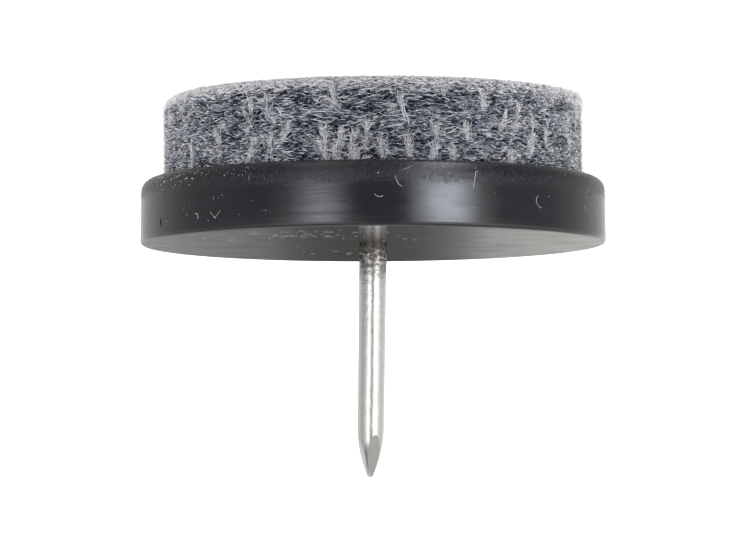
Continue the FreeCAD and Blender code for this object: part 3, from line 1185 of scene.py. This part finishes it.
class GLIDE_OT_stage(bpy.types.Operator):
    """White floor, soft light all round, and the camera"""

    bl_idname = "glide.stage"
    bl_label = "Stage"

    def execute(self, context):
        scene = context.scene
        scene.view_settings.view_transform = "Standard"
        self.floor(scene.glide_colours)
        self.world(scene)
        self.tent()
        for lamp in LAMPS:
            self.lamp(*lamp)
        self.camera(scene)
        return {"FINISHED"}

    def floor(self, colours):
        deselect()
        bpy.ops.mesh.primitive_plane_add(size=12.0, location=(0, 0, -0.01 * MM))
        floor = bpy.context.object
        floor.name = "floor"
        material, tree, shader = new_material("white floor")
        plug(tree, shader, Base_Color=rgba(colours.floor), Roughness=1.0, Specular_IOR_Level=0.0)
        through = node(tree, "ShaderNodeBsdfTranslucent", {"Color": rgba(colours.floor)})
        opal = node(
            tree, "ShaderNodeMixShader", {0: FLOOR_OPAL, 1: shader.outputs[0], 2: through.outputs[0]}
        )
        path = node(tree, "ShaderNodeLightPath")
        seen = times(tree, path.outputs["Is Camera Ray"], FLOOR_GLOW)
        level = plus(tree, seen, times(tree, mirrored(tree, path), FLOOR_GLOSS))
        glow = node(tree, "ShaderNodeEmission", {"Color": rgba((1, 1, 1)), "Strength": level})
        white = node(tree, "ShaderNodeAddShader", {0: opal.outputs[0], 1: glow.outputs[0]})
        underside = node(tree, "ShaderNodeNewGeometry").outputs["Backfacing"]
        clear = node(tree, "ShaderNodeBsdfTransparent")
        open_below = node(
            tree, "ShaderNodeMixShader", {0: underside, 1: white.outputs[0], 2: clear.outputs[0]}
        )
        tree.links.new(open_below.outputs[0], tree.nodes["Material Output"].inputs["Surface"])
        material.cycles.emission_sampling = "NONE"
        floor.data.materials.append(material)

    def world(self, scene):
        world = bpy.data.worlds.new("studio")
        scene.world = world
        world.use_nodes = True
        tree = world.node_tree
        direction = node(tree, "ShaderNodeTexCoord").outputs["Generated"]
        depth = node(tree, "ShaderNodeSeparateXYZ", {0: direction}).outputs["Y"]
        soft = between(tree, depth, -0.9, 0.0, ROOM_FRONT, ROOM_BACK)
        path = node(tree, "ShaderNodeLightPath")
        seen = maths(tree, "MAXIMUM", path.outputs["Is Camera Ray"], mirrored(tree, path))
        level = mix_value(tree, seen, soft, 1.0)
        background = tree.nodes["Background"]
        background.inputs["Color"].default_value = rgba((1, 1, 1))
        tree.links.new(level, background.inputs["Strength"])

    def tent(self):
        foot = 0.02 * MM
        profile = [(FELT_HIGH.x, foot), (TENT_RADIUS, foot), (TENT_RADIUS, TENT_HEIGHT)]
        tent = lathe("light_tent", profile, 96)
        tent.visible_camera = False
        tent.visible_diffuse = False
        tent.visible_transmission = False
        tent.visible_volume_scatter = False
        tent.visible_shadow = False
        material = bpy.data.materials.new("light tent")
        material.use_nodes = True
        tree = material.node_tree
        tree.nodes.clear()
        place = node(tree, "ShaderNodeSeparateXYZ", {0: object_place(tree)})
        left = times(tree, place.outputs["X"], -1.0)
        near = times(tree, place.outputs["Y"], -1.0)
        bearing = maths(tree, "ARCTAN2", left, near)
        share = plus(tree, maths(tree, "DIVIDE", bearing, math.tau), 0.5)
        light = rgba((0, 0, 0))
        for (start, full), stops in TENT_ZONES:
            begun = between(tree, place.outputs["Z"], start * MM - 0.1 * MM, full * MM)
            light = mix_colour(tree, begun, light, self.tent_zone(tree, share, stops))
        glow = node(tree, "ShaderNodeEmission", {"Color": light, "Strength": TENT_BRIGHTEST})
        output = node(tree, "ShaderNodeOutputMaterial")
        tree.links.new(glow.outputs[0], output.inputs["Surface"])
        material.cycles.emission_sampling = "NONE"
        tent.data.materials.append(material)

    def tent_zone(self, tree, share, stops):
        """Light of one zone of the tent, by the share of a full turn."""
        ramp = node(tree, "ShaderNodeValToRGB", {0: share})
        elements = ramp.color_ramp.elements
        while len(elements) < len(stops):
            elements.new(0.5)
        for element, (degrees, light) in zip(elements, stops):
            element.position = degrees / 360 + 0.5
            element.color = rgba(tent_tint(degrees, light), light / TENT_BRIGHTEST)
        return ramp.outputs[0]

    def lamp(self, name, degrees, elevation, size, power):
        data = bpy.data.lights.new(name, "AREA")
        data.shape = "DISK"
        data.size = size
        data.energy = power
        lamp = bpy.data.objects.new(name, data)
        rise = math.radians(elevation)
        level = outward(math.radians(degrees)) * math.cos(rise)
        lamp.location = (level + Vector((0, 0, math.sin(rise)))) * LAMP_DISTANCE
        lamp.rotation_euler = lamp.location.to_track_quat("Z", "Y").to_euler()
        lamp.visible_camera = False
        lamp.visible_glossy = False
        bpy.context.collection.objects.link(lamp)

    def camera(self, scene):
        data = bpy.data.cameras.new("camera")
        data.sensor_fit = "HORIZONTAL"
        data.sensor_width = 36.0
        data.lens = CAMERA_LENS
        data.clip_start = 10 * MM
        data.clip_end = 20.0
        camera = bpy.data.objects.new("camera", data)
        eye, aim = Vector(CAMERA_EYE) * MM, Vector(CAMERA_AIM) * MM
        forward = (aim - eye).normalized()
        right = forward.cross(Vector((0, 0, -1))).normalized()
        up = right.cross(forward)
        roll = math.radians(CAMERA_ROLL)
        level = right * math.cos(roll) + up * math.sin(roll)
        upright = up * math.cos(roll) - right * math.sin(roll)
        turned = Matrix((level, upright, -forward)).transposed()
        camera.matrix_world = Matrix.Translation(eye) @ turned.to_4x4()
        bpy.context.collection.objects.link(camera)
        scene.camera = camera


PIECES = (
    GLIDE_OT_felt_core,
    GLIDE_OT_felt_fibres,
    GLIDE_OT_cup,
    GLIDE_OT_lint,
    GLIDE_OT_nail,
    GLIDE_OT_stage,
)


class GLIDE_PT_panel(bpy.types.Panel):
    """Lists the glide's pieces"""

    bl_label = "Furniture Glide"
    bl_idname = "GLIDE_PT_panel"
    bl_space_type = "VIEW_3D"
    bl_region_type = "UI"
    bl_category = "Glide"

    def draw(self, context):
        for piece in PIECES:
            self.layout.operator(piece.bl_idname)
        for group in (context.scene.glide_sizes, context.scene.glide_colours):
            box = self.layout.box()
            for name in group.__annotations__:
                box.prop(group, name)


CLASSES = (GlideSizes, GlideColours, *PIECES, GLIDE_PT_panel)


def register():
    for item in CLASSES:
        bpy.utils.register_class(item)
    bpy.types.Scene.glide_sizes = bpy.props.PointerProperty(type=GlideSizes)
    bpy.types.Scene.glide_colours = bpy.props.PointerProperty(type=GlideColours)


def unregister():
    del bpy.types.Scene.glide_colours
    del bpy.types.Scene.glide_sizes
    for item in reversed(CLASSES):
        bpy.utils.unregister_class(item)


def main():
    register()
    bpy.ops.glide.felt_core()
    bpy.ops.glide.felt_fibres()
    bpy.ops.glide.cup()
    bpy.ops.glide.lint()
    bpy.ops.glide.nail()
    bpy.ops.glide.stage()


if __name__ == "__main__":
    main()
